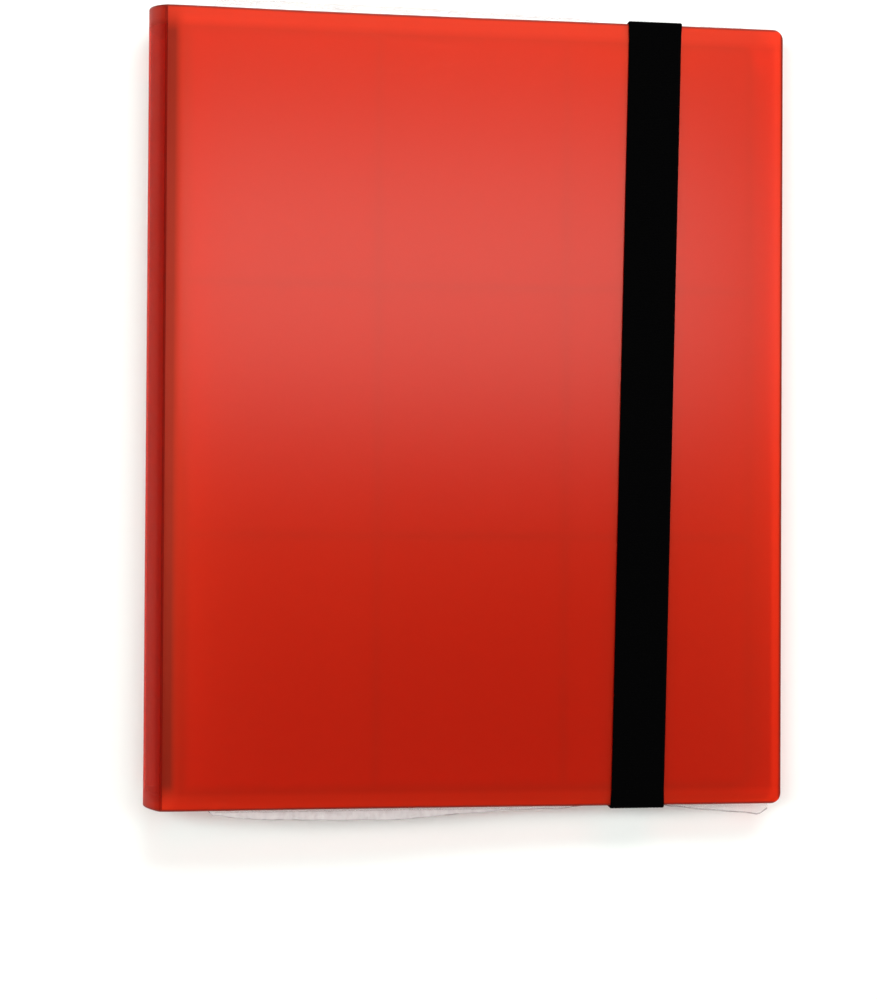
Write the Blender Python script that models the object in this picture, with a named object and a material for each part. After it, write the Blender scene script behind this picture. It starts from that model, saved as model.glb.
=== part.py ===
"""Nine-pocket trading card binder, closed and lying on its back cover.

X runs from the spine (-X) to the free edge (+X), Y runs up the page and Z is up. The origin is on
the table, under the middle of the binder. The cover is one polypropylene sheet with two creases, made
here as three panels that meet at the creases. Twenty clear pocket leaves hang on a binding strip inside
the rounded spine, and a wide elastic band holds the binder shut.
"""

import math

import bmesh
import bpy
from mathutils import Vector

# Overall size of the closed binder, in metres
COVER_HEIGHT = 0.307
BINDER_WIDTH = 0.250
SPINE_THICKNESS = 0.028
CLEARANCE = 0.0003

# Cover
COVER_SHEET = 0.0008
CORNER_RADIUS = 0.004
SPINE_BULGE = 0.0075
CREASE_WIDTH = 0.0006

# Pocket leaves, numbered from the front cover to the back cover
LEAF_COUNT = 20
LEAF_SHEET = 0.00025
LEAF_HEIGHT = 0.295
LEAF_FREE_EDGE_X = 0.113
LEAF_START = 0.003
LEAF_PIVOT_INSET = 0.0013
LEAF_PIVOT_PITCH = 0.00112
LEAF_EDGE_PITCH = 0.00055
LOWEST_LEAF_Z = 0.0033

# Strip inside the spine that the leaves are welded to
BINDING_THICKNESS = 0.0006
BINDING_MARGIN_Z = 0.002
BINDING_LENGTH = 0.297

# Loose clear film between the front cover and the first leaf
FILM_SHEET = 0.0001
FILM_START_X = -0.101
FILM_END_X = 0.120
FILM_STEP = 0.005
FILM_LONG_PROUD = 0.0036
FILM_SHORT_PROUD = 0.0030
FILM_TUCK = 0.0015

# Elastic band and its two anchors
BAND_WIDTH = 0.021
BAND_THICKNESS = 0.001
BAND_TOP_X = 0.073
BAND_BOTTOM_X = 0.067
BAND_TAIL = 0.0145
BAND_BEND = 0.001
ANCHOR_TOP_SHEET = 0.0004
ANCHOR_LEG_WIDTH = 0.003
ANCHOR_LENGTH = 0.012
ANCHOR_EDGE_INSET = 0.002

ARC_STEPS = 8
SPINE_STEPS = 20

# Lines that follow from the sizes above
HALF_HEIGHT = COVER_HEIGHT / 2
FREE_EDGE_X = BINDER_WIDTH / 2
CREASE_X = SPINE_BULGE - BINDER_WIDTH / 2
BACK_CREASE_Z = COVER_SHEET / 2
FRONT_CREASE_Z = SPINE_THICKNESS - COVER_SHEET / 2
LEAF_PIVOT_X = CREASE_X + LEAF_PIVOT_INSET
LEAF_REACH = LEAF_FREE_EDGE_X - LEAF_PIVOT_X
TOP_LEAF_EDGE_Z = LOWEST_LEAF_Z + (LEAF_COUNT - 1) * LEAF_EDGE_PITCH
FRONT_EDGE_Z = TOP_LEAF_EDGE_Z + LEAF_SHEET / 2 + 2 * CLEARANCE + FILM_SHEET + COVER_SHEET / 2
FRONT_SLOPE = math.atan2(FRONT_CREASE_Z - FRONT_EDGE_Z, LEAF_FREE_EDGE_X - CREASE_X)


def clear_scene():
    """Removes every object that the file holds."""
    for old in list(bpy.data.objects):
        bpy.data.objects.remove(old)


def make_material(name, colour, roughness, alpha=1.0):
    """A Principled material with one colour; none of the pieces is metal."""
    material = bpy.data.materials.new(name)
    material.use_nodes = True
    shader = material.node_tree.nodes["Principled BSDF"]
    shader.inputs["Base Color"].default_value = (*colour, 1.0)
    shader.inputs["Roughness"].default_value = roughness
    shader.inputs["Metallic"].default_value = 0.0
    shader.inputs["Alpha"].default_value = alpha
    return material


def place(name, mesh, material, location=(0, 0, 0), tilt=0.0):
    """Links one object; tilt turns it about Y, so that its +X end comes down."""
    obj = bpy.data.objects.new(name, mesh)
    obj.location = location
    obj.rotation_euler = (0, tilt, 0)
    if not mesh.materials:
        mesh.materials.append(material)
    bpy.context.scene.collection.objects.link(obj)
    return obj


def extruded(name, outline, direction):
    """A closed mesh made by extruding one flat outline along a direction."""
    bm = bmesh.new()
    face = bm.faces.new([bm.verts.new(point) for point in outline])
    grown = bmesh.ops.extrude_face_region(bm, geom=[face])
    moved = [item for item in grown["geom"] if isinstance(item, bmesh.types.BMVert)]
    bmesh.ops.translate(bm, verts=moved, vec=Vector(direction))
    bmesh.ops.recalc_face_normals(bm, faces=bm.faces)
    mesh = bpy.data.meshes.new(name)
    bm.to_mesh(mesh)
    bm.free()
    return mesh


def corner(centre_x, centre_y, radius, start_degrees):
    """A quarter circle of points that turns anticlockwise."""
    points = []
    for step in range(ARC_STEPS + 1):
        angle = math.radians(start_degrees + 90 * step / ARC_STEPS)
        points.append((centre_x + radius * math.cos(angle), centre_y + radius * math.sin(angle)))
    return points


def sheet_outline(start_x, end_x, half_height):
    """A panel's outline: square corners at the spine and rounded ones at the free edge."""
    inner_x = end_x - CORNER_RADIUS
    inner_y = half_height - CORNER_RADIUS
    outline = [(start_x, half_height), (start_x, -half_height)]
    outline += corner(inner_x, -inner_y, CORNER_RADIUS, -90)
    outline += corner(inner_x, inner_y, CORNER_RADIUS, 0)
    return outline


def flat_sheet(name, outline, thickness, middle_z=0.0):
    """A sheet of one thickness, centred on the height middle_z."""
    low = middle_z - thickness / 2
    return extruded(name, [(x, y, low) for x, y in outline], (0, 0, thickness))


def smooth(value, low, high):
    """Rises smoothly from 0 at low to 1 at high."""
    share = min(max((value - low) / (high - low), 0.0), 1.0)
    return share * share * (3 - 2 * share)


def make_back_cover(material):
    """The panel that the binder lies on, from its crease to the free edge."""
    outline = sheet_outline(CREASE_X + CREASE_WIDTH, FREE_EDGE_X, HALF_HEIGHT)
    place("back_cover", flat_sheet("back_cover", outline, COVER_SHEET, BACK_CREASE_Z), material)


def make_front_cover(material):
    """The top panel, with its origin on the front crease and its free edge lower than the spine."""
    reach = (FREE_EDGE_X - CREASE_X) / math.cos(FRONT_SLOPE)
    outline = sheet_outline(CREASE_WIDTH, reach, HALF_HEIGHT)
    mesh = flat_sheet("front_cover", outline, COVER_SHEET)
    place("front_cover", mesh, material, (CREASE_X, 0, FRONT_CREASE_Z), FRONT_SLOPE)


def make_spine(material):
    """The rounded spine panel: an arc between the two creases, with its origin on the back crease."""
    half_chord = (FRONT_CREASE_Z - BACK_CREASE_Z) / 2
    rise = SPINE_BULGE - COVER_SHEET / 2
    radius = (half_chord ** 2 + rise ** 2) / (2 * rise)
    half_angle = math.asin(half_chord / radius) - CREASE_WIDTH / 2 / radius
    centre_x = radius - rise

    def arc(arc_radius, angles):
        return [(centre_x - arc_radius * math.cos(a), -HALF_HEIGHT, half_chord + arc_radius * math.sin(a))
                for a in angles]

    angles = [half_angle * (2 * step / SPINE_STEPS - 1) for step in range(SPINE_STEPS + 1)]
    outer = arc(radius + COVER_SHEET / 2, angles)
    inner = arc(radius - COVER_SHEET / 2, reversed(angles))
    mesh = extruded("spine_panel", outer + inner, (0, COVER_HEIGHT, 0))
    place("spine_panel", mesh, material, (CREASE_X, 0, BACK_CREASE_Z))


def make_binding_strip(material):
    """The flat strip inside the spine that carries the leaves."""
    low_z = BINDING_MARGIN_Z
    high_z = SPINE_THICKNESS - BINDING_MARGIN_Z
    left = CREASE_X + CLEARANCE / 3
    half = BINDING_LENGTH / 2
    profile = [(left, -half, low_z), (left, half, low_z), (left, half, high_z), (left, -half, high_z)]
    place("binding_strip", extruded("binding_strip", profile, (BINDING_THICKNESS, 0, 0)), material)


def make_leaves(material):
    """Equal leaves that fan out from the free edge to the spine, each with its origin on its hinge line."""
    outline = sheet_outline(LEAF_START, LEAF_REACH, LEAF_HEIGHT / 2)
    mesh = flat_sheet("pocket_leaf", outline, LEAF_SHEET)
    for number in range(1, LEAF_COUNT + 1):
        level = LEAF_COUNT - number
        pivot_z = LOWEST_LEAF_Z + level * LEAF_PIVOT_PITCH
        edge_z = LOWEST_LEAF_Z + level * LEAF_EDGE_PITCH
        tilt = math.asin((pivot_z - edge_z) / LEAF_REACH)
        place(f"pocket_leaf_{number:02d}", mesh, material, (LEAF_PIVOT_X, 0, pivot_z), tilt)


def film_proud(x):
    """How far the film stands out past the cover's end at x; it is tucked in where the band crosses."""
    band_x = (BAND_TOP_X + BAND_BOTTOM_X) / 2
    reach = BAND_WIDTH / 2 + (BAND_TOP_X - BAND_BOTTOM_X) / 2
    rise = smooth(x, FILM_START_X, FILM_START_X + 0.02) * (FILM_LONG_PROUD + FILM_TUCK)
    fall = smooth(x, band_x - reach - 0.03, band_x - reach - 0.002) * (FILM_LONG_PROUD + FILM_TUCK)
    last = smooth(x, band_x + reach + 0.002, FILM_END_X - 0.012) * (FILM_SHORT_PROUD + FILM_TUCK)
    return rise - fall + last - FILM_TUCK


def make_film(material):
    """The loose film, lying close under the front cover and made in its frame."""
    drop = COVER_SHEET / 2 + CLEARANCE + FILM_SHEET / 2
    steps = round((FILM_END_X - FILM_START_X) / FILM_STEP)
    across = [FILM_START_X + (FILM_END_X - FILM_START_X) * step / steps for step in range(steps + 1)]
    top = [((x - CREASE_X) / math.cos(FRONT_SLOPE), HALF_HEIGHT + film_proud(x)) for x in across]
    outline = [(x, -y) for x, y in top] + top[::-1]
    mesh = flat_sheet("clear_film_sheet", outline, FILM_SHEET, -drop)
    place("clear_film_sheet", mesh, material, (CREASE_X, 0, FRONT_CREASE_Z), FRONT_SLOPE)


def cover_top_z(x):
    """Height of the front cover's outer face at x."""
    return FRONT_CREASE_Z - (x - CREASE_X) * math.tan(FRONT_SLOPE) + COVER_SHEET / 2 / math.cos(FRONT_SLOPE)


def band_quarter(side_x):
    """The band's middle line from its hidden end to the front cover, as (y, z, share of the cover's tilt)."""
    side_y = HALF_HEIGHT + CLEARANCE + BAND_THICKNESS / 2
    tail_z = COVER_SHEET + CLEARANCE + BAND_THICKNESS / 2
    front_z = cover_top_z(side_x) + CLEARANCE + BAND_THICKNESS / 2
    low_bend = corner(side_y - BAND_BEND, tail_z + BAND_BEND, BAND_BEND, -90)
    high_bend = corner(side_y - BAND_BEND, front_z - BAND_BEND, BAND_BEND, 0)
    path = [(side_y - BAND_TAIL, tail_z, 0.0)]
    path += [(y, z, 0.0) for y, z in low_bend]
    path += [(y, z, 1.0) for y, z in high_bend]
    return path


def make_band(material):
    """The elastic band: up one end of the binder, down its front and round the other end."""
    middle_x = (BAND_TOP_X + BAND_BOTTOM_X) / 2
    lean = (BAND_TOP_X - BAND_BOTTOM_X) / COVER_HEIGHT
    bottom = [(BAND_BOTTOM_X, -y, z, share) for y, z, share in band_quarter(BAND_BOTTOM_X)]
    top = [(BAND_TOP_X, y, z, share) for y, z, share in band_quarter(BAND_TOP_X)]
    path = bottom + top[::-1]
    bm = bmesh.new()
    rings = []
    for index, (x, y, z, share) in enumerate(path):
        before = path[max(index - 1, 0)]
        after = path[min(index + 1, len(path) - 1)]
        along = Vector((0, after[1] - before[1], after[2] - before[2])).normalized()
        out = Vector((0, -along.z, along.y)) * BAND_THICKNESS / 2
        centre = Vector((x, y, z))
        side = Vector((1, -lean if share else 0, -math.tan(FRONT_SLOPE) * share)) * BAND_WIDTH / 2
        if abs(y) > HALF_HEIGHT - CORNER_RADIUS:
            side.y = 0
        corners = (centre - side - out, centre + side - out, centre + side + out, centre - side + out)
        rings.append([bm.verts.new(point) for point in corners])
    for first, second in zip(rings, rings[1:]):
        for edge in range(4):
            following = (edge + 1) % 4
            bm.faces.new((first[edge], first[following], second[following], second[edge]))
    bm.faces.new(rings[0])
    bm.faces.new(rings[-1])
    bmesh.ops.recalc_face_normals(bm, faces=bm.faces)
    mesh = bpy.data.meshes.new("elastic_band")
    axis_z = COVER_SHEET + CLEARANCE + BAND_THICKNESS / 2
    bmesh.ops.translate(bm, verts=bm.verts, vec=Vector((-middle_x, 0, -axis_z)))
    bm.to_mesh(mesh)
    bm.free()
    place("elastic_band", mesh, material, (middle_x, 0, axis_z))


def make_anchor(name, band_x, side, material):
    """A welded bridge that holds one end of the band down on the inside of the back cover."""
    inner = BAND_WIDTH / 2 + CLEARANCE
    outer = inner + ANCHOR_LEG_WIDTH
    foot_z = COVER_SHEET + CLEARANCE
    under_z = foot_z + BAND_THICKNESS + CLEARANCE
    top_z = under_z + ANCHOR_TOP_SHEET
    start_y = HALF_HEIGHT - ANCHOR_EDGE_INSET
    profile = [(-outer, foot_z), (-inner, foot_z), (-inner, under_z), (inner, under_z),
               (inner, foot_z), (outer, foot_z), (outer, top_z), (-outer, top_z)]
    outline = [(x, side * start_y, z) for x, z in profile]
    mesh = extruded(name, outline, (0, -side * ANCHOR_LENGTH, 0))
    place(name, mesh, material, (band_x, 0, 0))


def build():
    """Makes every piece of the closed binder."""
    clear_scene()
    red = make_material("red_polypropylene", (0.62, 0.045, 0.02), 0.38, alpha=0.92)
    frosted = make_material("binding_polypropylene", (0.45, 0.06, 0.04), 0.5)
    clear = make_material("clear_pocket_film", (0.86, 0.88, 0.88), 0.22, alpha=0.45)
    elastic = make_material("black_elastic", (0.006, 0.006, 0.007), 0.85)
    make_back_cover(red)
    make_spine(red)
    make_front_cover(red)
    make_binding_strip(frosted)
    make_leaves(clear)
    make_film(clear)
    make_band(elastic)
    make_anchor("band_anchor_top", BAND_TOP_X, 1, red)
    make_anchor("band_anchor_bottom", BAND_BOTTOM_X, -1, red)


build()
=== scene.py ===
"""Looks of the trading card binder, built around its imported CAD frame.

Lengths are in metres, in the frame of the CAD: X from the spine to the free edge, Y up the page, Z up.
Every sheet is a grid of points on its middle surface, closed into a thin solid by solid_sheet(); only
the clear film stays open. Each point's flat coordinate, its UV, is its place in metres on the flat sheet.
"""

import math

import bmesh
import bpy
import numpy as np
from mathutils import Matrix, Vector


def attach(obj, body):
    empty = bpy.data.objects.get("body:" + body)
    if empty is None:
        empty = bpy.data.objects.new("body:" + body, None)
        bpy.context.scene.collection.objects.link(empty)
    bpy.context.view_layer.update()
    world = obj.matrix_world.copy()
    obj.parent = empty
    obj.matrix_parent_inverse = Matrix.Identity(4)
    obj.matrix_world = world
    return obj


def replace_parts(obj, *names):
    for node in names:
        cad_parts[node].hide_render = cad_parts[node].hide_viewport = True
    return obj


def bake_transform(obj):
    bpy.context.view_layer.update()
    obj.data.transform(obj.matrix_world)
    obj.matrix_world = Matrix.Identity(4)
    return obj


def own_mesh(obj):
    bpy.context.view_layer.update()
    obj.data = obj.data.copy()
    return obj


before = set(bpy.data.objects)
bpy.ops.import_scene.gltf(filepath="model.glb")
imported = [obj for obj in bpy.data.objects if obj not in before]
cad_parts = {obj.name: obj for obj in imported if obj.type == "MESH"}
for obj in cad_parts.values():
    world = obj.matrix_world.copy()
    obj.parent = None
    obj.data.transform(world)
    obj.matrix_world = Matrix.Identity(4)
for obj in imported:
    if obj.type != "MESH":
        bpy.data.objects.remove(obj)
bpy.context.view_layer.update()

# Cover, as in the CAD
CREASE_X = -0.1175
FREE_X = 0.125
HALF_HEIGHT = 0.1535
SHEET = 0.0008
BACK_Z = 0.0004
FRONT_Z = 0.0276
FRONT_SLOPE = math.tan(math.radians(3.135))
CORNER = 0.004
CREASE_GAP = 0.0006
SPINE_RISE = 0.0071

# Small shapes of the covers that the CAD leaves out
EDGE_ROUND = 0.00018
CREASE_ROLL = 0.00018
CREASE_ROLL_END = 0.0058
CREASE_THINNING = 0.42
SPINE_SLIP = 0.0009
BAND_DENT = 0.0003
BAND_DENT_REACH = 0.024

# Where each cover piece lies in the flat coordinate, so that patterns and margins stay apart
BACK_FLAT_SHIFT = -0.6
SPINE_FLAT_SHIFT = -0.3
CREASE_FLAT_SHIFT = -0.4

# Leaves, as in the CAD
LEAF_COUNT = 20
PIVOT_X = -0.1162
LEAF_END_X = 0.113
LEAF_HALF = 0.1475
LOWEST_LEAF_Z = 0.0033
PIVOT_PITCH = 0.00112
EDGE_PITCH = 0.00055

# Binding strip, a little inside its CAD box
STRIP_X = -0.1171
STRIP_THICK = 0.00056
STRIP_HALF = 0.14835
STRIP_LOW_Z = 0.00215
STRIP_HIGH_Z = 0.02585
STRIP_PRESSED = 0.0001
STRIP_WAVE = 0.006

# Band, as in the CAD
BAND_TOP_X = 0.073
BAND_BOTTOM_X = 0.067
BAND_HALF_WIDTH = 0.0105
BAND_THICK = 0.0009
BAND_SIDE_Y = 0.1543
BAND_TAIL_Z = 0.0016
BAND_TAIL = 0.0145
BAND_BEND = 0.0011
BAND_GAP = 0.00012
BAND_EDGE = 0.00035
CORD_PITCH = 0.00136
CORD_HEIGHT = 0.00007

# Clear film between the front cover and the first leaf
FILM_LEFT = -0.101
FILM_RIGHT = 0.120
FILM_DROP = 0.00022
HEM_DROP = 0.0005
HEM_WIDTH = 0.0078


def smooth(value, low, high):
    """Rises smoothly from 0 at low to 1 at high; takes numbers or arrays."""
    share = np.clip((np.asarray(value, float) - low) / (high - low), 0, 1)
    return share * share * (3 - 2 * share)


def waves(x, y, seed, scale, count=6):
    """A smooth random height from -1 to 1, made of seeded sine waves of about one wavelength."""
    rng = np.random.default_rng(seed)
    total = np.zeros(np.broadcast(x, y).shape)
    for _ in range(count):
        angle, phase = rng.uniform(0, 2 * math.pi, 2)
        turns = 2 * math.pi / (scale * rng.uniform(0.6, 1.7))
        total += np.sin(turns * (math.cos(angle) * x + math.sin(angle) * y) + phase)
    return total / count


# ---- meshes -------------------------------------------------------------------------------------


def link(name, verts, faces, uv, kinds=None):
    """One mesh object from points, faces, each point's flat coordinate and each face's material number."""
    mesh = bpy.data.meshes.new(name)
    mesh.from_pydata([tuple(v) for v in verts], [], faces)
    if kinds is not None:
        mesh.polygons.foreach_set("material_index", np.asarray(kinds, np.int32))
    bm = bmesh.new()
    bm.from_mesh(mesh)
    bmesh.ops.recalc_face_normals(bm, faces=bm.faces)
    bm.to_mesh(mesh)
    bm.free()
    layer = mesh.uv_layers.new(name="flat")
    index = np.zeros(len(mesh.loops), int)
    mesh.loops.foreach_get("vertex_index", index)
    layer.data.foreach_set("uv", np.asarray(uv, float)[index].ravel())
    mesh.shade_smooth()
    mesh.set_sharp_from_angle(angle=math.radians(40))
    obj = bpy.data.objects.new(name, mesh)
    bpy.context.scene.collection.objects.link(obj)
    return obj


def unit(vectors):
    """Vectors scaled to length 1."""
    return vectors / np.maximum(np.linalg.norm(vectors, axis=-1, keepdims=True), 1e-12)


RIM = ((0.0, 1.0), (0.62, 0.8), (1.0, 0.38), (1.0, -0.38), (0.62, -0.8), (0.0, -1.0))


def shell_parts(middle, thick, flat, edge=EDGE_ROUND, square=(), start=0, kind=None):
    """Points, faces and flat coordinates of one closed sheet around a grid of middle points.

    The grid's outer points stand in by edge, which the rounded rim adds back; square lists the sides
    of the grid ("first" or "last" row) that end in a plain cut instead. kind gives each grid face a
    material number.
    """
    rows, cols = middle.shape[:2]
    normal = unit(np.cross(np.gradient(middle, axis=0), np.gradient(middle, axis=1)))
    half = normal * (np.broadcast_to(thick, (rows, cols)) / 2)[..., None]
    index = np.arange(rows * cols).reshape(rows, cols)
    loop = np.concatenate([index[0, :-1], index[:-1, -1], index[-1, :0:-1], index[:0:-1, 0]])
    flat_middle = middle.reshape(-1, 3)
    flat_half = half.reshape(-1, 3)
    along = np.roll(flat_middle[loop], -1, 0) - np.roll(flat_middle[loop], 1, 0)
    out = unit(np.cross(normal.reshape(-1, 3)[loop], along)) * edge
    row = loop // cols
    end = (loop % cols == 0) | (loop % cols == cols - 1)
    for side, number in (("first", 0), ("last", rows - 1)):
        if side in square:
            out[(row == number) & ~end] = 0
            across = unit(np.gradient(middle, axis=1)).reshape(-1, 3)[loop]
            sign = np.where(loop % cols == 0, -1.0, 1.0)[:, None]
            at = (row == number) & end
            out[at] = (across * sign * edge)[at]
    verts = [flat_middle + flat_half, flat_middle - flat_half]
    loops = [loop]
    for inset, lift in RIM[1:-1]:
        loops.append(len(loop) * (len(loops) - 1) + 2 * rows * cols + np.arange(len(loop)))
        verts.append(flat_middle[loop] + out * inset + flat_half[loop] * lift)
    loops.append(loop + rows * cols)
    quads = np.stack([index[:-1, :-1], index[1:, :-1], index[1:, 1:], index[:-1, 1:]], -1).reshape(-1, 4)
    faces = [quads, quads[:, ::-1] + rows * cols]
    kinds = np.zeros(len(quads), int) if kind is None else kind.ravel()
    for upper, lower in zip(loops, loops[1:]):
        faces.append(np.stack([upper, np.roll(upper, -1), np.roll(lower, -1), lower], -1))
    uv = [flat.reshape(-1, 2)] * 2 + [flat.reshape(-1, 2)[loop]] * (len(RIM) - 2)
    faces = np.concatenate(faces)
    kinds = np.concatenate([kinds, kinds, np.full(len(faces) - 2 * len(quads), kinds[0])])
    return np.concatenate(verts), (faces + start).tolist(), np.concatenate(uv), kinds


def solid_sheet(name, parts):
    """One object from several closed sheets, each a dict of shell_parts() arguments."""
    verts, faces, uvs, kinds = [], [], [], []
    total = 0
    for part in parts:
        points, quads, uv, kind = shell_parts(start=total, **part)
        verts.append(points)
        faces += quads
        uvs.append(uv)
        kinds.append(kind)
        total += len(points)
    return link(name, np.concatenate(verts), faces, np.concatenate(uvs), np.concatenate(kinds))


def open_sheet(name, middle, flat):
    """One object from a grid of points with no thickness, for film that is too thin to close."""
    rows, cols = middle.shape[:2]
    index = np.arange(rows * cols).reshape(rows, cols)
    quads = np.stack([index[:-1, :-1], index[1:, :-1], index[1:, 1:], index[:-1, 1:]], -1).reshape(-1, 4)
    return link(name, middle.reshape(-1, 3), quads.tolist(), flat.reshape(-1, 2))


def spread(start, end, step):
    """Evenly spaced values from start to end, about step apart."""
    return np.linspace(start, end, max(2, round(abs(end - start) / step) + 1))


def fine_ends(step):
    """Shares from -1 to 1, about step apart, with eight closer ones at each end."""
    share = spread(-1, 1, step)
    fine = np.array([1 - 0.004 * k for k in range(1, 9)])
    return np.unique(np.round(np.concatenate([share, fine, -fine]), 6))


def panel_grid(start_x, end_x, half, radius, edge, step):
    """x and y of a panel's grid: square at its start and rounded at its free end, inset by edge.

    The first ten columns are close together, for the roll beside the crease.
    """
    turn = np.radians(np.linspace(0, 90, 9))
    inner = radius - edge
    near_start = start_x + 0.0008 * np.arange(10)
    flat_part = np.concatenate([near_start[:-1], spread(near_start[-1], end_x - radius, step)])
    columns = np.concatenate([flat_part, end_x - radius + inner * np.sin(turn[1:])])
    depth = np.concatenate([np.full(len(flat_part), half - edge), half - radius + inner * np.cos(turn[1:])])
    share = fine_ends(step / half)
    x = np.repeat(columns[:, None], len(share), 1)
    return x, depth[:, None] * share[None, :]


# ---- the closed binder's shape ------------------------------------------------------------------


def settled(x, z):
    """Height z once the stack has sunk a little between the spine and the band."""
    share = 0.05 * smooth(x, CREASE_X, -0.045) * (1 - smooth(x, -0.02, 0.085))
    return SHEET + (z - SHEET) * (1 - share)


def band_x(y):
    """The band's centre line, which leans a little."""
    return BAND_BOTTOM_X + (BAND_TOP_X - BAND_BOTTOM_X) * (y + HALF_HEIGHT) / (2 * HALF_HEIGHT)


def front_z(x, y):
    """Middle height of the front cover: rolled at its crease, and pressed at its ends by the band."""
    z = settled(x, FRONT_Z - (x - CREASE_X) * FRONT_SLOPE)
    near = np.exp(-(((x - band_x(y)) / BAND_DENT_REACH) ** 2))
    dent = BAND_DENT * near * smooth(np.abs(y), 0.13, HALF_HEIGHT)
    return z + CREASE_ROLL * smooth(x, CREASE_X, CREASE_X + CREASE_ROLL_END) - dent


def stacked(x, y, z):
    """Points from x, y and z arrays of one shape."""
    return np.stack(np.broadcast_arrays(x, y, z), -1).astype(float)


def make_front_cover():
    """The front panel, which slopes down to its free edge."""
    x, y = panel_grid(CREASE_X + CREASE_GAP, FREE_X, HALF_HEIGHT, CORNER, EDGE_ROUND, 0.004)
    middle, flat = stacked(x, y, front_z(x, y)), np.stack([x, y], -1)
    obj = solid_sheet("front_cover_sheet", [dict(middle=middle, thick=SHEET, flat=flat, square=("first",))])
    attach(obj, "front_cover")
    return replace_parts(obj, "front_cover")


def make_back_cover():
    """The back panel, flat on the table."""
    x, y = panel_grid(CREASE_X + CREASE_GAP, FREE_X, HALF_HEIGHT, CORNER, EDGE_ROUND, 0.004)
    middle = stacked(x, y, np.full_like(x, BACK_Z))
    flat = np.stack([x + BACK_FLAT_SHIFT, y], -1)
    obj = solid_sheet("back_cover_sheet", [dict(middle=middle, thick=SHEET, flat=flat, square=("first",))])
    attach(obj, "back_cover")
    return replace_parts(obj, "back_cover")


def spine_arc():
    """Radius, centre (x, z) and half angle of the spine's middle arc."""
    half_chord = (FRONT_Z - BACK_Z) / 2
    radius = (half_chord ** 2 + SPINE_RISE ** 2) / (2 * SPINE_RISE)
    half_angle = math.asin(half_chord / radius) - CREASE_GAP / 2 / radius
    return radius, CREASE_X - SPINE_RISE + radius, BACK_Z + half_chord, half_angle


def spine_points(angle, y):
    """Points of the spine's middle surface; its belly has slipped a little up the page."""
    radius, centre_x, centre_z, half_angle = spine_arc()
    slip = SPINE_SLIP * np.cos(angle / half_angle * math.pi / 2)
    return stacked(centre_x - radius * np.cos(angle), y + slip, centre_z + radius * np.sin(angle))


def spine_rows():
    """Places in y of the spine's and creases' grid lines."""
    return fine_ends(0.026) * (HALF_HEIGHT - EDGE_ROUND)


def make_spine():
    """The curved spine of the closed binder; the real spine flattens as the binder opens."""
    radius, _, _, half_angle = spine_arc()
    angle, y = np.meshgrid(np.linspace(-half_angle, half_angle, 41), spine_rows(), indexing="ij")
    flat = np.stack([angle * radius + SPINE_FLAT_SHIFT, y], -1)
    obj = solid_sheet("spine_sheet", [dict(middle=spine_points(angle, y), thick=SHEET, flat=flat,
                                           square=("first", "last"))])
    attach(obj, "spine")
    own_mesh(obj)
    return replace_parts(obj, "spine_panel")


def make_crease(name, panel_z, sign):
    """The thin scored strip between a panel and the spine; sign is -1 at the back and 1 at the front."""
    half_angle = spine_arc()[3]
    spine_end = spine_points(np.array(sign * half_angle), np.array(0.0))
    panel_end = np.array([CREASE_X + CREASE_GAP, 0, panel_z])
    toward = np.array([CREASE_X + 0.0001, 0, panel_z])
    share = np.linspace(0, 1, 9)[:, None]
    line = (1 - share) ** 2 * panel_end + 2 * share * (1 - share) * toward + share ** 2 * spine_end
    thick = SHEET * (1 - CREASE_THINNING * np.sin(np.pi * share))
    rows = spine_rows()
    middle = np.repeat(line[::-1, None, :], len(rows), 1)
    middle[..., 1] = rows
    travel = np.linspace(0, 0.001, 9) + CREASE_FLAT_SHIFT + 0.05 * sign
    flat = np.stack(np.meshgrid(travel, rows, indexing="ij"), -1)
    obj = solid_sheet(name, [dict(middle=middle, thick=thick, flat=flat, square=("first", "last"))])
    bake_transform(obj)
    return obj


# ---- leaves -------------------------------------------------------------------------------------

MARGIN_X = (-0.11678, -0.1165, -0.1162, -0.1159, -0.1156, -0.1153, -0.115, -0.1147, -0.1144, -0.1141,
            -0.1137, -0.11325)
RIB_X = (-0.1132, -0.1106)
RIB_PITCH = 0.00206
RIB_FLAT, RIB_HIGH = 0.0001, 0.00024
MARGIN_THICK = 0.00011
SEAM_THICK = 0.00014
POCKET_THICK = 0.00027
POCKETS_X = -0.1105
POCKETS = 3
SEAM_WIDTH = 0.0022
POCKET_LIP = 0.0009
LEAF_CORNER = 0.0032
LEAF_WAVE = 0.00004
FILM_EDGE = 0.00003
PLATE_EDGE = 0.00004


def pocket_lines(start, end, count, seam, lip):
    """Grid lines and how far each is into a pocket (0 on a seam, 1 inside), over count pockets."""
    lines, inside = [], []
    pitch = (end - start - seam) / count
    for number in range(count):
        low = start + number * pitch
        high = low + pitch + seam
        lines += [low, low + seam, low + seam + lip, low + seam + 3 * lip]
        inside += [0, 0, 0.62, 0.86]
        middle = np.linspace(low + seam + 3 * lip, high - seam - 3 * lip, 6)[1:-1]
        lines += list(middle) + [high - seam - 3 * lip, high - seam - lip]
        inside += [1, 1, 1, 1, 0.86, 0.62]
    lines += [end - seam, end]
    inside += [0, 0]
    return np.array(lines), np.array(inside)


def leaf_height(number, x):
    """Middle height of a leaf at rest."""
    level = LEAF_COUNT - number
    pivot_z = LOWEST_LEAF_Z + level * PIVOT_PITCH
    edge_z = LOWEST_LEAF_Z + level * EDGE_PITCH
    return settled(x, pivot_z + (edge_z - pivot_z) * (x - PIVOT_X) / (LEAF_END_X - PIVOT_X))


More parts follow.
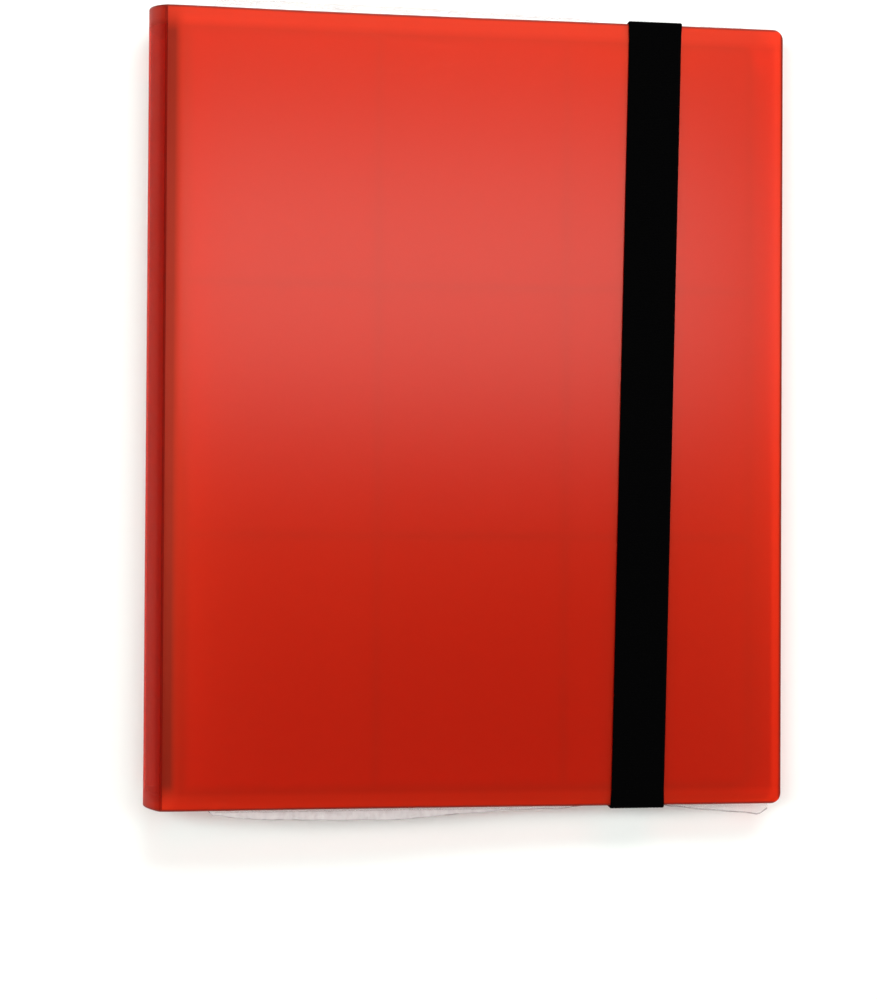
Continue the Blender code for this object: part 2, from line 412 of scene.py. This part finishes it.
def make_leaf(number):
    """One pocket leaf: its margin, the ribbed weld line, and nine pockets between welded seams."""
    rng = np.random.default_rng(400 + number)
    half = LEAF_HALF - 0.0004 - abs(rng.normal(0, 0.00025))
    end_x = LEAF_END_X - 0.0002 - abs(rng.normal(0, 0.0003))
    lift = LEAF_WAVE * rng.uniform(-1, 1)

    def height(x, y):
        calm = smooth(x, -0.105, -0.07)
        return leaf_height(number, x) + calm * (lift + LEAF_WAVE * waves(x, y, 50 + number, 0.09))

    def sheet(x, y, thick, edge, kind=None):
        return dict(middle=stacked(x, y, height(x, y)), thick=thick, flat=np.stack([x, y], -1), edge=edge,
                    kind=kind)

    x, y = np.meshgrid(np.array(MARGIN_X), spread(-half, half, 0.01), indexing="ij")
    margin = sheet(x, y, MARGIN_THICK, FILM_EDGE)

    ribs = math.floor((2 * half - 0.004) / RIB_PITCH)
    start_y = -ribs * RIB_PITCH / 2
    rib_y = (start_y + RIB_PITCH * (np.arange(ribs)[:, None] + np.array([0.0, 0.14, 0.5, 0.64]))).ravel()
    rib_t = np.tile([RIB_FLAT, RIB_HIGH, RIB_HIGH, RIB_FLAT], ribs)
    rib_y = np.concatenate([[-half + 0.0003], rib_y, [start_y + ribs * RIB_PITCH, half - 0.0003]])
    rib_t = np.concatenate([[RIB_FLAT], rib_t, [RIB_FLAT, RIB_FLAT]])
    x, y = np.meshgrid(np.array(RIB_X), rib_y, indexing="ij")
    welded = sheet(x, y, np.repeat(rib_t[None], 2, 0), FILM_EDGE, np.ones((1, len(rib_y) - 1), int))

    across, in_x = pocket_lines(POCKETS_X, end_x, POCKETS, SEAM_WIDTH, POCKET_LIP)
    along, in_y = pocket_lines(-half, half, POCKETS, SEAM_WIDTH, POCKET_LIP)
    near = np.maximum(0, across - (end_x - LEAF_CORNER))
    depth = half - LEAF_CORNER + np.sqrt(np.maximum(LEAF_CORNER ** 2 - near ** 2, 0))
    depth = np.where(across > end_x - 1e-9, half - LEAF_CORNER * 0.75, depth)
    x = np.repeat(across[:, None], len(along), 1)
    y = depth[:, None] / half * along[None, :]
    thick = SEAM_THICK + (POCKET_THICK - SEAM_THICK) * in_x[:, None] * in_y[None, :]
    seam = 1 - np.outer(np.maximum(in_x[:-1], in_x[1:]) > 0, np.maximum(in_y[:-1], in_y[1:]) > 0)
    plate = sheet(x, y, thick, PLATE_EDGE, seam)

    obj = solid_sheet(f"leaf_sheet_{number:02d}", [margin, welded, plate])
    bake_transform(obj)
    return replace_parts(obj, f"pocket_leaf_{number:02d}")


# ---- binding strip ------------------------------------------------------------------------------


def make_strip():
    """The strip inside the spine, pressed a little thinner where each leaf's margin is welded on."""
    along, up = spread(-STRIP_HALF, STRIP_HALF, 0.0015), spread(STRIP_LOW_Z, STRIP_HIGH_Z, 0.00019)
    y, z = np.meshgrid(along, up, indexing="ij")
    middle = np.stack([np.full_like(y, STRIP_X), y, z], -1)
    level = (z - LOWEST_LEAF_Z) / PIVOT_PITCH
    beside = np.abs(level - np.round(level)) * PIVOT_PITCH
    pressed = smooth(-beside, -0.0004, -0.00018) * ((level > -0.4) & (level < LEAF_COUNT - 0.6))
    thick = STRIP_THICK - STRIP_PRESSED * pressed * (0.7 + 0.3 * np.cos(2 * math.pi * y / STRIP_WAVE))
    flat = np.stack([y, z], -1)
    obj = solid_sheet("binding_strip_welded", [dict(middle=middle, thick=thick, flat=flat, edge=0.00012)])
    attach(obj, "spine")
    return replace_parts(obj, "binding_strip")


# ---- clear film ---------------------------------------------------------------------------------

TAIL_SHARES = np.concatenate([np.linspace(0.1, 0.93, 6), np.linspace(0.944, 1, 14)])
FOLD_TURNS = np.radians([40, 90, 140])
FOLD_ROUND = 0.00022
FILM_TOP = ((-0.101, 0.1515), (-0.0985, 0.1562), (-0.094, 0.1569), (-0.07, 0.1571), (-0.04, 0.1569),
            (-0.01, 0.1566), (0.02, 0.1558), (0.045, 0.1548), (0.056, 0.1524), (0.0735, 0.152),
            (0.086, 0.1524), (0.092, 0.1541), (0.104, 0.1543), (0.112, 0.1535), (0.12, 0.151))
FILM_BOTTOM = ((-0.101, 0.1515), (-0.0985, 0.1553), (-0.08, 0.1574), (-0.053, 0.158), (-0.026, 0.1582),
               (-0.002, 0.1562), (0.014, 0.1551), (0.038, 0.1545), (0.05, 0.153), (0.056, 0.1522),
               (0.073, 0.152), (0.08, 0.1543), (0.095, 0.1559), (0.11, 0.1572), (0.1165, 0.1581),
               (0.12, 0.1558))


def film_edge(x, table, seed):
    """How far the film reaches in y at x, with small waves where it stands out."""
    places, reach = np.array(table).T
    edge = np.interp(x, places, reach)
    return edge + 0.00025 * waves(x, np.zeros_like(x), seed, 0.011) * smooth(edge, 0.1525, 0.155)


def film_points(x, y, drop, seed):
    """Points of the film under the front cover, crinkled where it stands out past the ends."""
    free = smooth(np.abs(y), 0.1512, 0.1572)
    crinkle = 0.0006 * waves(x, y, seed, 0.009) + 0.0004 * waves(x, y, seed + 1, 0.0042)
    return stacked(x, y, front_z(x, y) - SHEET / 2 - drop + free * (crinkle - 0.0006))


def film_end(x, edge, sign, seed):
    """Rows from the middle of the film out to one end, round its fold and back under as a hem."""
    rows = [film_points(x, sign * edge * share, FILM_DROP, seed) for share in TAIL_SHARES]
    hem = HEM_WIDTH + 0.0022 * waves(x, np.zeros_like(x), seed + 5, 0.05)
    under = [film_points(x, sign * (edge - hem * share), HEM_DROP, seed + 2)
             for share in np.linspace(0.06, 1, 12)]
    fold = []
    for angle in FOLD_TURNS:
        ring = rows[-1] + (under[0] - rows[-1]) * (1 - math.cos(angle)) / 2
        ring[:, 1] += sign * FOLD_ROUND * math.sin(angle)
        fold.append(ring)
    return np.array(rows + fold + under)


def make_film():
    """One loose sheet of film whose two ends are folded back under it as narrow hems."""
    x = spread(FILM_LEFT, FILM_RIGHT, 0.0014)
    top = film_end(x, film_edge(x, FILM_TOP, 71), 1, 81)
    low = film_end(x, film_edge(x, FILM_BOTTOM, 72), -1, 91)
    middle = np.concatenate([low[::-1], top]).transpose(1, 0, 2)
    flat = np.stack([middle[..., 0], middle[..., 1]], -1)
    fold = np.zeros(len(top))
    fold[len(TAIL_SHARES):len(TAIL_SHARES) + len(FOLD_TURNS)] = 1
    flat[..., 0] += np.concatenate([fold[::-1], 0 * fold])  # marks the lower fold for film_material()
    obj = open_sheet("clear_film_loose", middle, flat)
    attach(obj, "front_cover")
    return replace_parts(obj, "clear_film_sheet")


# ---- elastic band -------------------------------------------------------------------------------


def band_path(top_z):
    """The band's middle line round one end of the binder: (distance from the middle, z)."""
    low = [(BAND_SIDE_Y - BAND_TAIL + d, BAND_TAIL_Z) for d in np.linspace(0, BAND_TAIL - BAND_BEND, 7)]
    turn = np.radians(np.linspace(15, 90, 6))
    low += [(BAND_SIDE_Y - BAND_BEND + BAND_BEND * math.sin(a), BAND_TAIL_Z + BAND_BEND * (1 - math.cos(a)))
            for a in turn]
    rise = np.linspace(BAND_TAIL_Z + BAND_BEND, top_z - BAND_BEND, 8)
    low += [(BAND_SIDE_Y, z) for z in rise[1:]]
    low += [(BAND_SIDE_Y - BAND_BEND + BAND_BEND * math.cos(a), top_z - BAND_BEND + BAND_BEND * math.sin(a))
            for a in turn]
    return low


def make_band():
    """The woven band: lengthwise cords in its width, round both ends of the binder."""
    offsets = spread(-(BAND_HALF_WIDTH - BAND_EDGE), BAND_HALF_WIDTH - BAND_EDGE, CORD_PITCH / 4)
    above = SHEET / 2 + BAND_THICK / 2 + BAND_GAP
    front_y = spread(BAND_SIDE_Y - BAND_BEND, -(BAND_SIDE_Y - BAND_BEND), 0.003)[1:-1]
    columns = []
    for offset in offsets:
        top_z = float(front_z(BAND_TOP_X + offset, HALF_HEIGHT)) + above
        end_z = float(front_z(BAND_BOTTOM_X + offset, -HALF_HEIGHT)) + above
        points = [(band_x(y) + offset, y, z) for y, z in band_path(top_z)]
        for y in front_y:
            x = band_x(y) + offset
            points.append((x, y, float(front_z(x, y)) + above))
        points += [(band_x(-y) + offset, -y, z) for y, z in band_path(end_z)[::-1]]
        columns.append(points)
    middle = np.array(columns).transpose(1, 0, 2)
    # A little wider over the ends of the binder, and narrower where the tails lie in their anchors
    flare = 1 + 0.02 * smooth(np.abs(middle[..., 1]), 0.148, 0.153) * smooth(middle[..., 2], 0.006, 0.014)
    flare -= 0.02 * (1 - smooth(middle[..., 2], 0.002, 0.01))
    centre = middle[:, len(offsets) // 2, 0][:, None]
    middle[..., 0] = centre + (middle[..., 0] - centre) * flare
    cords = CORD_HEIGHT * np.cos(2 * math.pi * offsets / CORD_PITCH)
    thick = np.repeat((BAND_THICK - 2 * CORD_HEIGHT + cords)[None], len(middle), 0)
    travel = np.concatenate([[0], np.cumsum(np.linalg.norm(np.diff(middle[:, 0], axis=0), axis=1))])
    flat = np.stack(np.meshgrid(travel, offsets, indexing="ij"), -1)
    obj = solid_sheet("elastic_band_woven", [dict(middle=middle, thick=thick, flat=flat, edge=BAND_EDGE)])
    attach(obj, "band")
    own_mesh(obj)
    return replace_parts(obj, "elastic_band")


# ---- materials ----------------------------------------------------------------------------------


class Shade:
    """A small helper to write node trees as expressions."""

    def __init__(self, name, source="UV"):
        self.material = bpy.data.materials.new(name)
        self.material.use_nodes = True
        self.tree = self.material.node_tree
        self.tree.nodes.clear()
        self.output = self.tree.nodes.new("ShaderNodeOutputMaterial")
        self.place = self.add("ShaderNodeTexCoord").outputs[source]

    def add(self, kind, **values):
        """A node with its properties and unlinked sockets set, and its linked ones joined."""
        node = self.tree.nodes.new(kind)
        for key, value in values.items():
            if key[0].isupper():
                self.join(value, node.inputs[key.replace("_", " ")])
            else:
                setattr(node, key, value)
        return node

    def join(self, value, socket):
        """Links a socket's value, or sets a plain one."""
        if isinstance(value, bpy.types.NodeSocket):
            self.tree.links.new(value, socket)
        else:
            socket.default_value = value

    def scaled(self, x, y, z=1.0):
        """The pattern's coordinate, stretched."""
        return self.add("ShaderNodeMapping", Vector=self.place, Scale=(x, y, z)).outputs[0]

    def part(self, axis):
        """One number of the pattern's coordinate."""
        return self.add("ShaderNodeSeparateXYZ", Vector=self.place).outputs[axis]

    def noise(self, scale, detail=2.0, vector=None):
        """Noise from about 0 to 1 over the pattern's coordinate."""
        node = self.add("ShaderNodeTexNoise", Vector=vector or self.place, Scale=scale, Detail=detail)
        return node.outputs["Fac"]

    def between(self, value, low, high, start=0.0, end=1.0):
        """Maps value from start..end onto low..high."""
        node = self.add("ShaderNodeMapRange", Value=value)
        for key, number in (("From Min", start), ("From Max", end), ("To Min", low), ("To Max", high)):
            node.inputs[key].default_value = number
        return node.outputs[0]

    def maths(self, operation, first, second=0.0):
        """One step of arithmetic."""
        node = self.add("ShaderNodeMath", operation=operation)
        for socket, value in zip(node.inputs, (first, second)):
            self.join(value, socket)
        return node.outputs[0]

    def blend(self, share, low, high):
        """A colour between low and high."""
        node = self.add("ShaderNodeMix", data_type="RGBA")
        self.join(share, node.inputs[0])
        for number, colour in ((6, low), (7, high)):
            whole = isinstance(colour, bpy.types.NodeSocket)
            self.join(colour if whole else (*colour, 1), node.inputs[number])
        return node.outputs[2]

    def bump(self, height, distance, strength=1.0, normal=None):
        """A bumped normal, on top of another one where normal is given."""
        node = self.add("ShaderNodeBump", Height=height, Distance=distance, Strength=strength)
        if normal is not None:
            self.tree.links.new(normal, node.inputs["Normal"])
        return node.outputs[0]

    def mix(self, share, first, second):
        """A mix of two shaders."""
        node = self.tree.nodes.new("ShaderNodeMixShader")
        for socket, value in zip(node.inputs, (share, first, second)):
            self.join(value, socket)
        return node.outputs[0]

    def finish(self, surface):
        """The material, with surface as its result."""
        self.tree.links.new(surface, self.output.inputs["Surface"])
        return self.material


RED = (0.9, 0.032, 0.0045)
DEEP_RED = (0.84, 0.029, 0.004)
# Painted light: the brighter red of the free edge and the lower end.
PAINTED_LIGHT_RED = (0.98, 0.036, 0.005)
# Painted shade: the darker red of the cut edges and of the top end past the leaves.
PAINTED_SHADE_RED = (0.14, 0.016, 0.008)
SHEEN_RED = (1.0, 0.085, 0.03)
INNER_REDS = ((0.84, 0.03, 0.003), (0.9, 0.036, 0.004))
# Painted shade: the darker translucent red of the strip beside the crease.
INNER_PAINTED_SHADE = (0.3, 0.012, 0.002)
FILM_CLEAR = (0.97, 0.975, 0.975, 1)


def toned(colour, tone):
    """A colour made darker."""
    return tuple(part * tone for part in colour)


def cover_material(name, source="UV", see=0.8, gloss=1.0, tone=1.0):
    """Satin translucent polypropylene with a fine sandy grain and faint scuffs; its cut edges are painted
    darker, as shade.

    see is how much light goes straight through, gloss scales the reflections and tone darkens the colour,
    as painted shade on the spine's and creases' copies. The masks are places on the sheet: cut its edges,
    painted darker as shade, with little gloss and see-through; glow the free and lower ends, painted
    brighter as light that gets in between the sheets; beside the strip along the crease, painted darker
    as the shade inside the spine, with less see-through and gloss; and rim the ends that stand past the
    leaves, which let less light through. The top end past the leaves is painted a little darker, as shade.
    """
    s = Shade(name, source)
    cloud = s.noise(9.0, 3.0)
    grain = s.noise(1500.0, 2.0)
    orange_peel = s.noise(260.0, 1.0)
    scuff = s.between(s.noise(40.0, 6.0, s.scaled(1.0, 14.0)), 0.0, 1.0, 0.6, 0.8)
    up = s.part(1)
    ends = s.maths("ABSOLUTE", up)
    normal = s.bump(orange_peel, 0.00001, 0.5, s.bump(grain, 0.000006, 0.6))
    # Painted shade: the cut edges are painted darker, with little gloss and little see-through.
    cut = s.maths("MAXIMUM", s.between(ends, 0.0, 1.0, HALF_HEIGHT - 0.0010, HALF_HEIGHT - 0.0006),
                  s.between(s.part(0), 0.0, 1.0, FREE_X - 0.0012, FREE_X - 0.0007))
    # Painted light: the free edge and the lower end are painted brighter, as light that gets in between the
    # sheets.
    glow = s.maths("MAXIMUM", s.between(s.part(0), 0.0, 0.9, LEAF_END_X, FREE_X - 0.002),
                   s.between(up, 0.0, 0.35, -LEAF_HALF + 0.003, -LEAF_HALF - 0.003))
    # Painted shade: the strip beside the crease is painted darker, with less see-through and gloss, as the
    # shade inside the spine.
    reach = s.maths("ABSOLUTE", s.maths("SUBTRACT", s.part(0), CREASE_X))
    beside = s.maths("MULTIPLY", s.between(reach, 1.0, 0.0, 0.0034, 0.0074),
                     s.between(ends, 1.0, 0.25, LEAF_HALF - 0.004, LEAF_HALF + 0.004))
    red = s.blend(cloud, toned(DEEP_RED, tone), toned(RED, tone))
    # Painted shade: the top end past the leaves is painted a little darker.
    red = s.blend(s.between(up, 0.0, 0.35, LEAF_HALF - 0.002, LEAF_HALF + 0.001), red, PAINTED_SHADE_RED)
    colour = s.blend(glow, s.blend(beside, red, toned(DEEP_RED, 0.22 * tone)), toned(PAINTED_LIGHT_RED, tone))
    colour = s.blend(cut, colour, PAINTED_SHADE_RED)
    rim = s.maths("MAXIMUM", s.between(up, 0.14, 0.0, -LEAF_HALF - 0.001, -LEAF_HALF + 0.001),
                  s.between(up, 0.0, 0.34, LEAF_HALF - 0.002, LEAF_HALF + 0.001))
    fine = s.maths("ADD", s.between(grain, -0.03, 0.03, 0.3, 0.7), s.maths("MULTIPLY", scuff, 0.04))
    body = s.add("ShaderNodeBsdfPrincipled", Base_Color=colour, Roughness=s.maths("ADD", fine, 0.4),
                 Normal=normal)
    body.inputs["Specular IOR Level"].default_value = 0.1
    inner = s.add("ShaderNodeBsdfTranslucent", Color=s.blend(beside, s.blend(cloud, *INNER_REDS), INNER_PAINTED_SHADE))
    clear = s.add("ShaderNodeBsdfTransparent", Color=(0.985, 0.15, 0.05, 1))
    through = s.maths("MULTIPLY", s.maths("SUBTRACT", see, rim), s.between(cut, 1.0, 0.25))
    through = s.maths("MULTIPLY", through, s.between(beside, 1.0, 0.2))
    plastic = s.mix(through, s.mix(0.22, body.outputs[0], inner.outputs[0]), clear.outputs[0])
    outside = s.maths("SUBTRACT", 1.0, s.add("ShaderNodeNewGeometry").outputs["Backfacing"])
    surface = s.maths("MULTIPLY", outside, s.between(cut, gloss, 0.1 * gloss))
    surface = s.maths("MULTIPLY", surface, s.between(beside, 1.0, 0.45))
    sheen = s.add("ShaderNodeBsdfGlossy", distribution="BECKMANN", Color=(*SHEEN_RED, 1),
                  Roughness=s.maths("ADD", fine, 0.37), Normal=normal)
    satin = s.mix(s.maths("MULTIPLY", surface, 0.36), plastic, sheen.outputs[0])
    slant = s.add("ShaderNodeLayerWeight", Blend=0.5, Normal=normal).outputs["Facing"]
    schlick = s.maths("ADD", s.maths("MULTIPLY", s.maths("POWER", slant, 5.0), 0.3), 0.04)
    shine = s.add("ShaderNodeBsdfGlossy", distribution="BECKMANN", Color=(1, 0.98, 0.94, 1),
                  Roughness=s.maths("ADD", fine, 0.22), Normal=normal)
    return s.finish(s.mix(s.maths("MULTIPLY", schlick, surface), satin, shine.outputs[0]))


def leaf_material():
    """Clear pocket film: hazy and glossy; its margin beside the binding strip is painted dark grey and less
    clear, as the shade inside the spine.
    """
    s = Shade("pocket_film")
    cloud = s.noise(25.0, 4.0)
    flow = s.noise(60.0, 3.0, s.scaled(1.0, 0.15))
    # Painted shade: the margin inside the spine is painted dark grey and made less clear.
    margin = s.between(s.part(0), 1.0, 0.0, -0.1136, -0.1131)
    colour = s.blend(margin, s.blend(cloud, (0.76, 0.78, 0.79), (0.85, 0.87, 0.87)), (0.3, 0.3, 0.31))
    normal = s.bump(flow, 0.00025, 0.5)
    film = s.add("ShaderNodeBsdfPrincipled", Base_Color=colour, Roughness=s.between(flow, 0.1, 0.2),
                 Normal=normal)
    film.inputs["IOR"].default_value = 1.49
    clear = s.add("ShaderNodeBsdfTransparent", Color=FILM_CLEAR)
    share = s.maths("ADD", s.between(cloud, 0.28, 0.34), s.maths("MULTIPLY", margin, 0.3))
    return s.finish(s.mix(share, film.outputs[0], clear.outputs[0]))


def weld_material():
    """The pressed seams between the pockets: frosted, with the fine ribs of the welding bar."""
    s = Shade("pocket_weld")
    ribs = s.maths("SINE", s.maths("MULTIPLY", s.part(1), 2 * math.pi / RIB_PITCH))
    beside = s.between(s.part(0), 1.0, 0.0, -0.111, -0.1105)
    tone = s.maths("MULTIPLY", s.between(ribs, 0.0, 1.0, -0.3, 0.3), beside)
    grey = s.blend(s.noise(300.0, 3.0), (0.4, 0.41, 0.42), (0.52, 0.53, 0.53))
    colour = s.blend(tone, grey, (0.98, 0.98, 0.98))
    rough = s.between(s.noise(700.0, 2.0), 0.34, 0.5)
    weld = s.add("ShaderNodeBsdfPrincipled", Base_Color=colour, Roughness=rough,
                 Normal=s.bump(s.noise(900.0, 2.0), 0.00005, 0.6))
    clear = s.add("ShaderNodeBsdfTransparent", Color=FILM_CLEAR)
    return s.finish(s.mix(0.16, weld.outputs[0], clear.outputs[0]))


def film_material():
    """Thin glass-clear film, which shows where its ends are creased, stand out and fold. Its creases are
    painted grey to white, as shade and highlight, and its lower fold is painted dark, as shade.
    """
    s = Shade("clear_film")
    # Painted shade and highlight: the creases are coloured from grey to white.
    crease = s.noise(420.0, 3.0, s.scaled(1.0, 0.5))
    # Painted shade: the lower fold is coloured dark.
    fold = s.between(s.part(0), 0.0, 1.0, 0.4, 0.9)
    colour = s.blend(fold, s.blend(crease, (0.5, 0.45, 0.44), (0.84, 0.79, 0.78)), (0.3, 0.28, 0.27))
    film = s.add("ShaderNodeBsdfPrincipled", Base_Color=colour, Roughness=s.between(crease, 0.05, 0.18),
                 Normal=s.bump(crease, 0.0009, 1.0))
    film.inputs["IOR"].default_value = 1.5
    clear = s.add("ShaderNodeBsdfTransparent", Color=(0.996, 0.997, 0.997, 1))
    ends = s.between(s.part(1), 0.998, 0.5, -0.1533, -0.1548)
    ends = s.maths("MINIMUM", ends, s.between(s.part(1), 0.998, 0.66, 0.1533, 0.1548))
    ends = s.maths("MAXIMUM", ends, s.between(s.part(0), 0.0, 0.86, 0.02, 0.07))
    share = s.maths("MULTIPLY", ends, s.between(fold, 1.0, 0.25))
    return s.finish(s.mix(share, film.outputs[0], clear.outputs[0]))


def band_material():
    """Black knitted elastic: fine cross stitches over the lengthwise cords."""
    s = Shade("black_elastic")
    knit = s.add("ShaderNodeTexWave", Vector=s.scaled(1.0, 0.35), Scale=520.0, Distortion=3.0, Detail=2.0)
    fuzz = s.noise(2600.0, 3.0)
    height = s.maths("ADD", knit.outputs["Fac"], s.maths("MULTIPLY", fuzz, 0.7))
    colour = s.blend(fuzz, (0.0002, 0.0002, 0.0002), (0.0009, 0.0009, 0.001))
    cloth = s.add("ShaderNodeBsdfPrincipled", Base_Color=colour, Roughness=s.between(fuzz, 0.82, 0.95),
                  Normal=s.bump(height, 0.00012, 0.8))
    cloth.inputs["Specular IOR Level"].default_value = 0.02
    return s.finish(cloth.outputs[0])


def strip_material():
    """The frosted strip inside the spine; its red is painted dark, as the shade it lies in."""
    s = Shade("binding_plastic")
    grain = s.noise(900.0, 3.0)
    # Painted shade: the strip's red is painted dark, as the shade inside the spine.
    colour = s.blend(s.noise(30.0, 2.0), (0.2, 0.012, 0.006), (0.27, 0.018, 0.009))
    body = s.add("ShaderNodeBsdfPrincipled", Base_Color=colour, Roughness=s.between(grain, 0.42, 0.56),
                 Normal=s.bump(grain, 0.00001, 0.7))
    return s.finish(body.outputs[0])


FLOOR_FADE = (0.8, 2.2)


def floor_material():
    """A plain pale table, which fades into the backdrop between FLOOR_FADE distances from the middle."""
    s = Shade("pale_floor", "Object")
    cloud = s.noise(1.6, 2.0)
    colour = s.blend(cloud, (0.915, 0.95, 0.915), (0.93, 0.96, 0.925))
    body = s.add("ShaderNodeBsdfPrincipled", Base_Color=colour, Roughness=0.7)
    body.inputs["Specular IOR Level"].default_value = 0.2
    away = s.add("ShaderNodeVectorMath", operation="LENGTH", Vector=s.place).outputs["Value"]
    clear = s.add("ShaderNodeBsdfTransparent", Color=(1, 1, 1, 1))
    return s.finish(s.mix(s.between(away, 0.0, 1.0, *FLOOR_FADE), body.outputs[0], clear.outputs[0]))


def wear(obj, material, slot=None, *more):
    """Gives a piece its materials; the slot argument, the record's slot that the finish belongs to, is not
    used.
    """
    kinds = np.zeros(len(obj.data.polygons), np.int32)
    obj.data.polygons.foreach_get("material_index", kinds)
    obj.data.materials.clear()
    for each in (material, *more):
        obj.data.materials.append(each)
    obj.data.polygons.foreach_set("material_index", kinds)


# ---- everything ---------------------------------------------------------------------------------


def build_binder():
    """Every piece, with its material."""
    cover = cover_material("cover_plastic")
    for obj in (make_back_cover(), make_front_cover()):
        wear(obj, cover, "cover_plastic")
    # The spine wears a darker, less glossy copy of the cover plastic: painted shade, as its curve turns away
    # from the light.
    spine = cover_material("spine_plastic_painted_shade", see=0.7, gloss=0.25, tone=0.3)
    wear(make_spine(), spine, "cover_plastic")
    back = make_crease("crease_back", BACK_Z, -1)
    front = make_crease("crease_front", FRONT_Z, 1)
    # The creases wear a darker copy with no gloss: painted shade in the creases, in place of their highlight.
    crease = cover_material("crease_plastic_painted_shade", see=0.6, gloss=0.0, tone=0.3)
    for obj in (back, front):
        wear(obj, crease, "cover_plastic")
    film, weld = leaf_material(), weld_material()
    for number in range(1, LEAF_COUNT + 1):
        wear(make_leaf(number), film, "pocket_film", weld)
    wear(make_film(), film_material(), "clear_film")
    wear(make_band(), band_material(), "elastic")
    wear(make_strip(), strip_material(), "binding_plastic")
    anchor = cover_material("anchor_plastic", "Object", 0.4)
    for name in ("band_anchor_top", "band_anchor_bottom"):
        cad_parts[name].material_slots[0].material = anchor


# name, place, what it faces, size and how bright its face is
LIGHTS = (
    ("satin_reflection", (0.25, 0.222, 1.22), (0.25, 0.222, 0), (0.6, 0.27), 1.82),
    ("ceiling_glow", (0.2, 0.66, 1.22), (0.2, 0.66, 0), (1.1, 0.4), 0.2),
    ("far_softbox", (0.3, 1.35, 1.4), (0.0, 0.05, 0.0), (1.2, 0.5), 11.3),
    ("left_softbox", (-0.9, 0.15, 1.4), (0, 0.05, 0), (0.6, 1.2), 8.3),
    ("right_softbox", (1.75, 0.15, 1.4), (0, 0.05, 0), (0.6, 1.2), 7.4),
    ("near_softbox", (0.3, -1.1, 1.4), (0, 0, 0), (1.2, 0.5), 2.3),
)
# The backdrop's brightness by height: from and to which height, and the brightness at each. They multiply.
BACKDROP = ((-0.02, 0.06, 0.95, 0.335), (0.15, 0.75, 1.0, 0.1))
FLOOR_HALF = 3
CAMERA_PLACE = (-0.0718, -0.0453, 0.7548)
CAMERA_TURN = (0.807, -4.667, 0.336)
CAMERA_LENS = 68.4


def area_light(name, location, target, size, radiance):
    """A soft box that faces target; radiance is what its face shows."""
    data = bpy.data.lights.new(name, "AREA")
    data.shape = "RECTANGLE"
    data.size, data.size_y = size
    data.energy = radiance * math.pi * size[0] * size[1]
    obj = bpy.data.objects.new(name, data)
    obj.location = location
    toward = Vector(target) - Vector(location)
    obj.rotation_euler = toward.to_track_quat("-Z", "Y").to_euler()
    bpy.context.scene.collection.objects.link(obj)


def build_studio():
    """Floor, lights and camera."""
    mesh = bpy.data.meshes.new("floor")
    corners = [(FLOOR_HALF * x, FLOOR_HALF * y, 0) for x, y in ((-1, -1), (1, -1), (1, 1), (-1, 1))]
    mesh.from_pydata(corners, [], [(0, 1, 2, 3)])
    floor = bpy.data.objects.new("floor", mesh)
    floor.location = (0, 0, -0.0002)
    bpy.context.scene.collection.objects.link(floor)
    wear(floor, floor_material())

    world = bpy.data.worlds.new("studio")
    world.use_nodes = True
    tree = world.node_tree
    place = tree.nodes.new("ShaderNodeTexCoord")
    split = tree.nodes.new("ShaderNodeSeparateXYZ")
    dim = tree.nodes.new("ShaderNodeMath")
    dim.operation = "MULTIPLY"
    tree.links.new(place.outputs["Generated"], split.inputs[0])
    for index, (low, high, start, end) in enumerate(BACKDROP):
        fade = tree.nodes.new("ShaderNodeMapRange")
        for key, number in (("From Min", low), ("From Max", high), ("To Min", start), ("To Max", end)):
            fade.inputs[key].default_value = number
        tree.links.new(split.outputs["Z"], fade.inputs["Value"])
        tree.links.new(fade.outputs[0], dim.inputs[index])
    tree.links.new(dim.outputs[0], tree.nodes["Background"].inputs["Strength"])
    tree.nodes["Background"].inputs["Color"].default_value = (1, 1, 1, 1)
    bpy.context.scene.world = world

    for light in LIGHTS:
        area_light(*light)

    data = bpy.data.cameras.new("camera")
    data.lens = CAMERA_LENS
    data.sensor_width = 36.0
    camera = bpy.data.objects.new("camera", data)
    camera.location = CAMERA_PLACE
    camera.rotation_euler = [math.radians(a) for a in CAMERA_TURN]
    bpy.context.scene.collection.objects.link(camera)
    bpy.context.scene.camera = camera
    bpy.context.scene.view_settings.view_transform = "Standard"


build_binder()
build_studio()
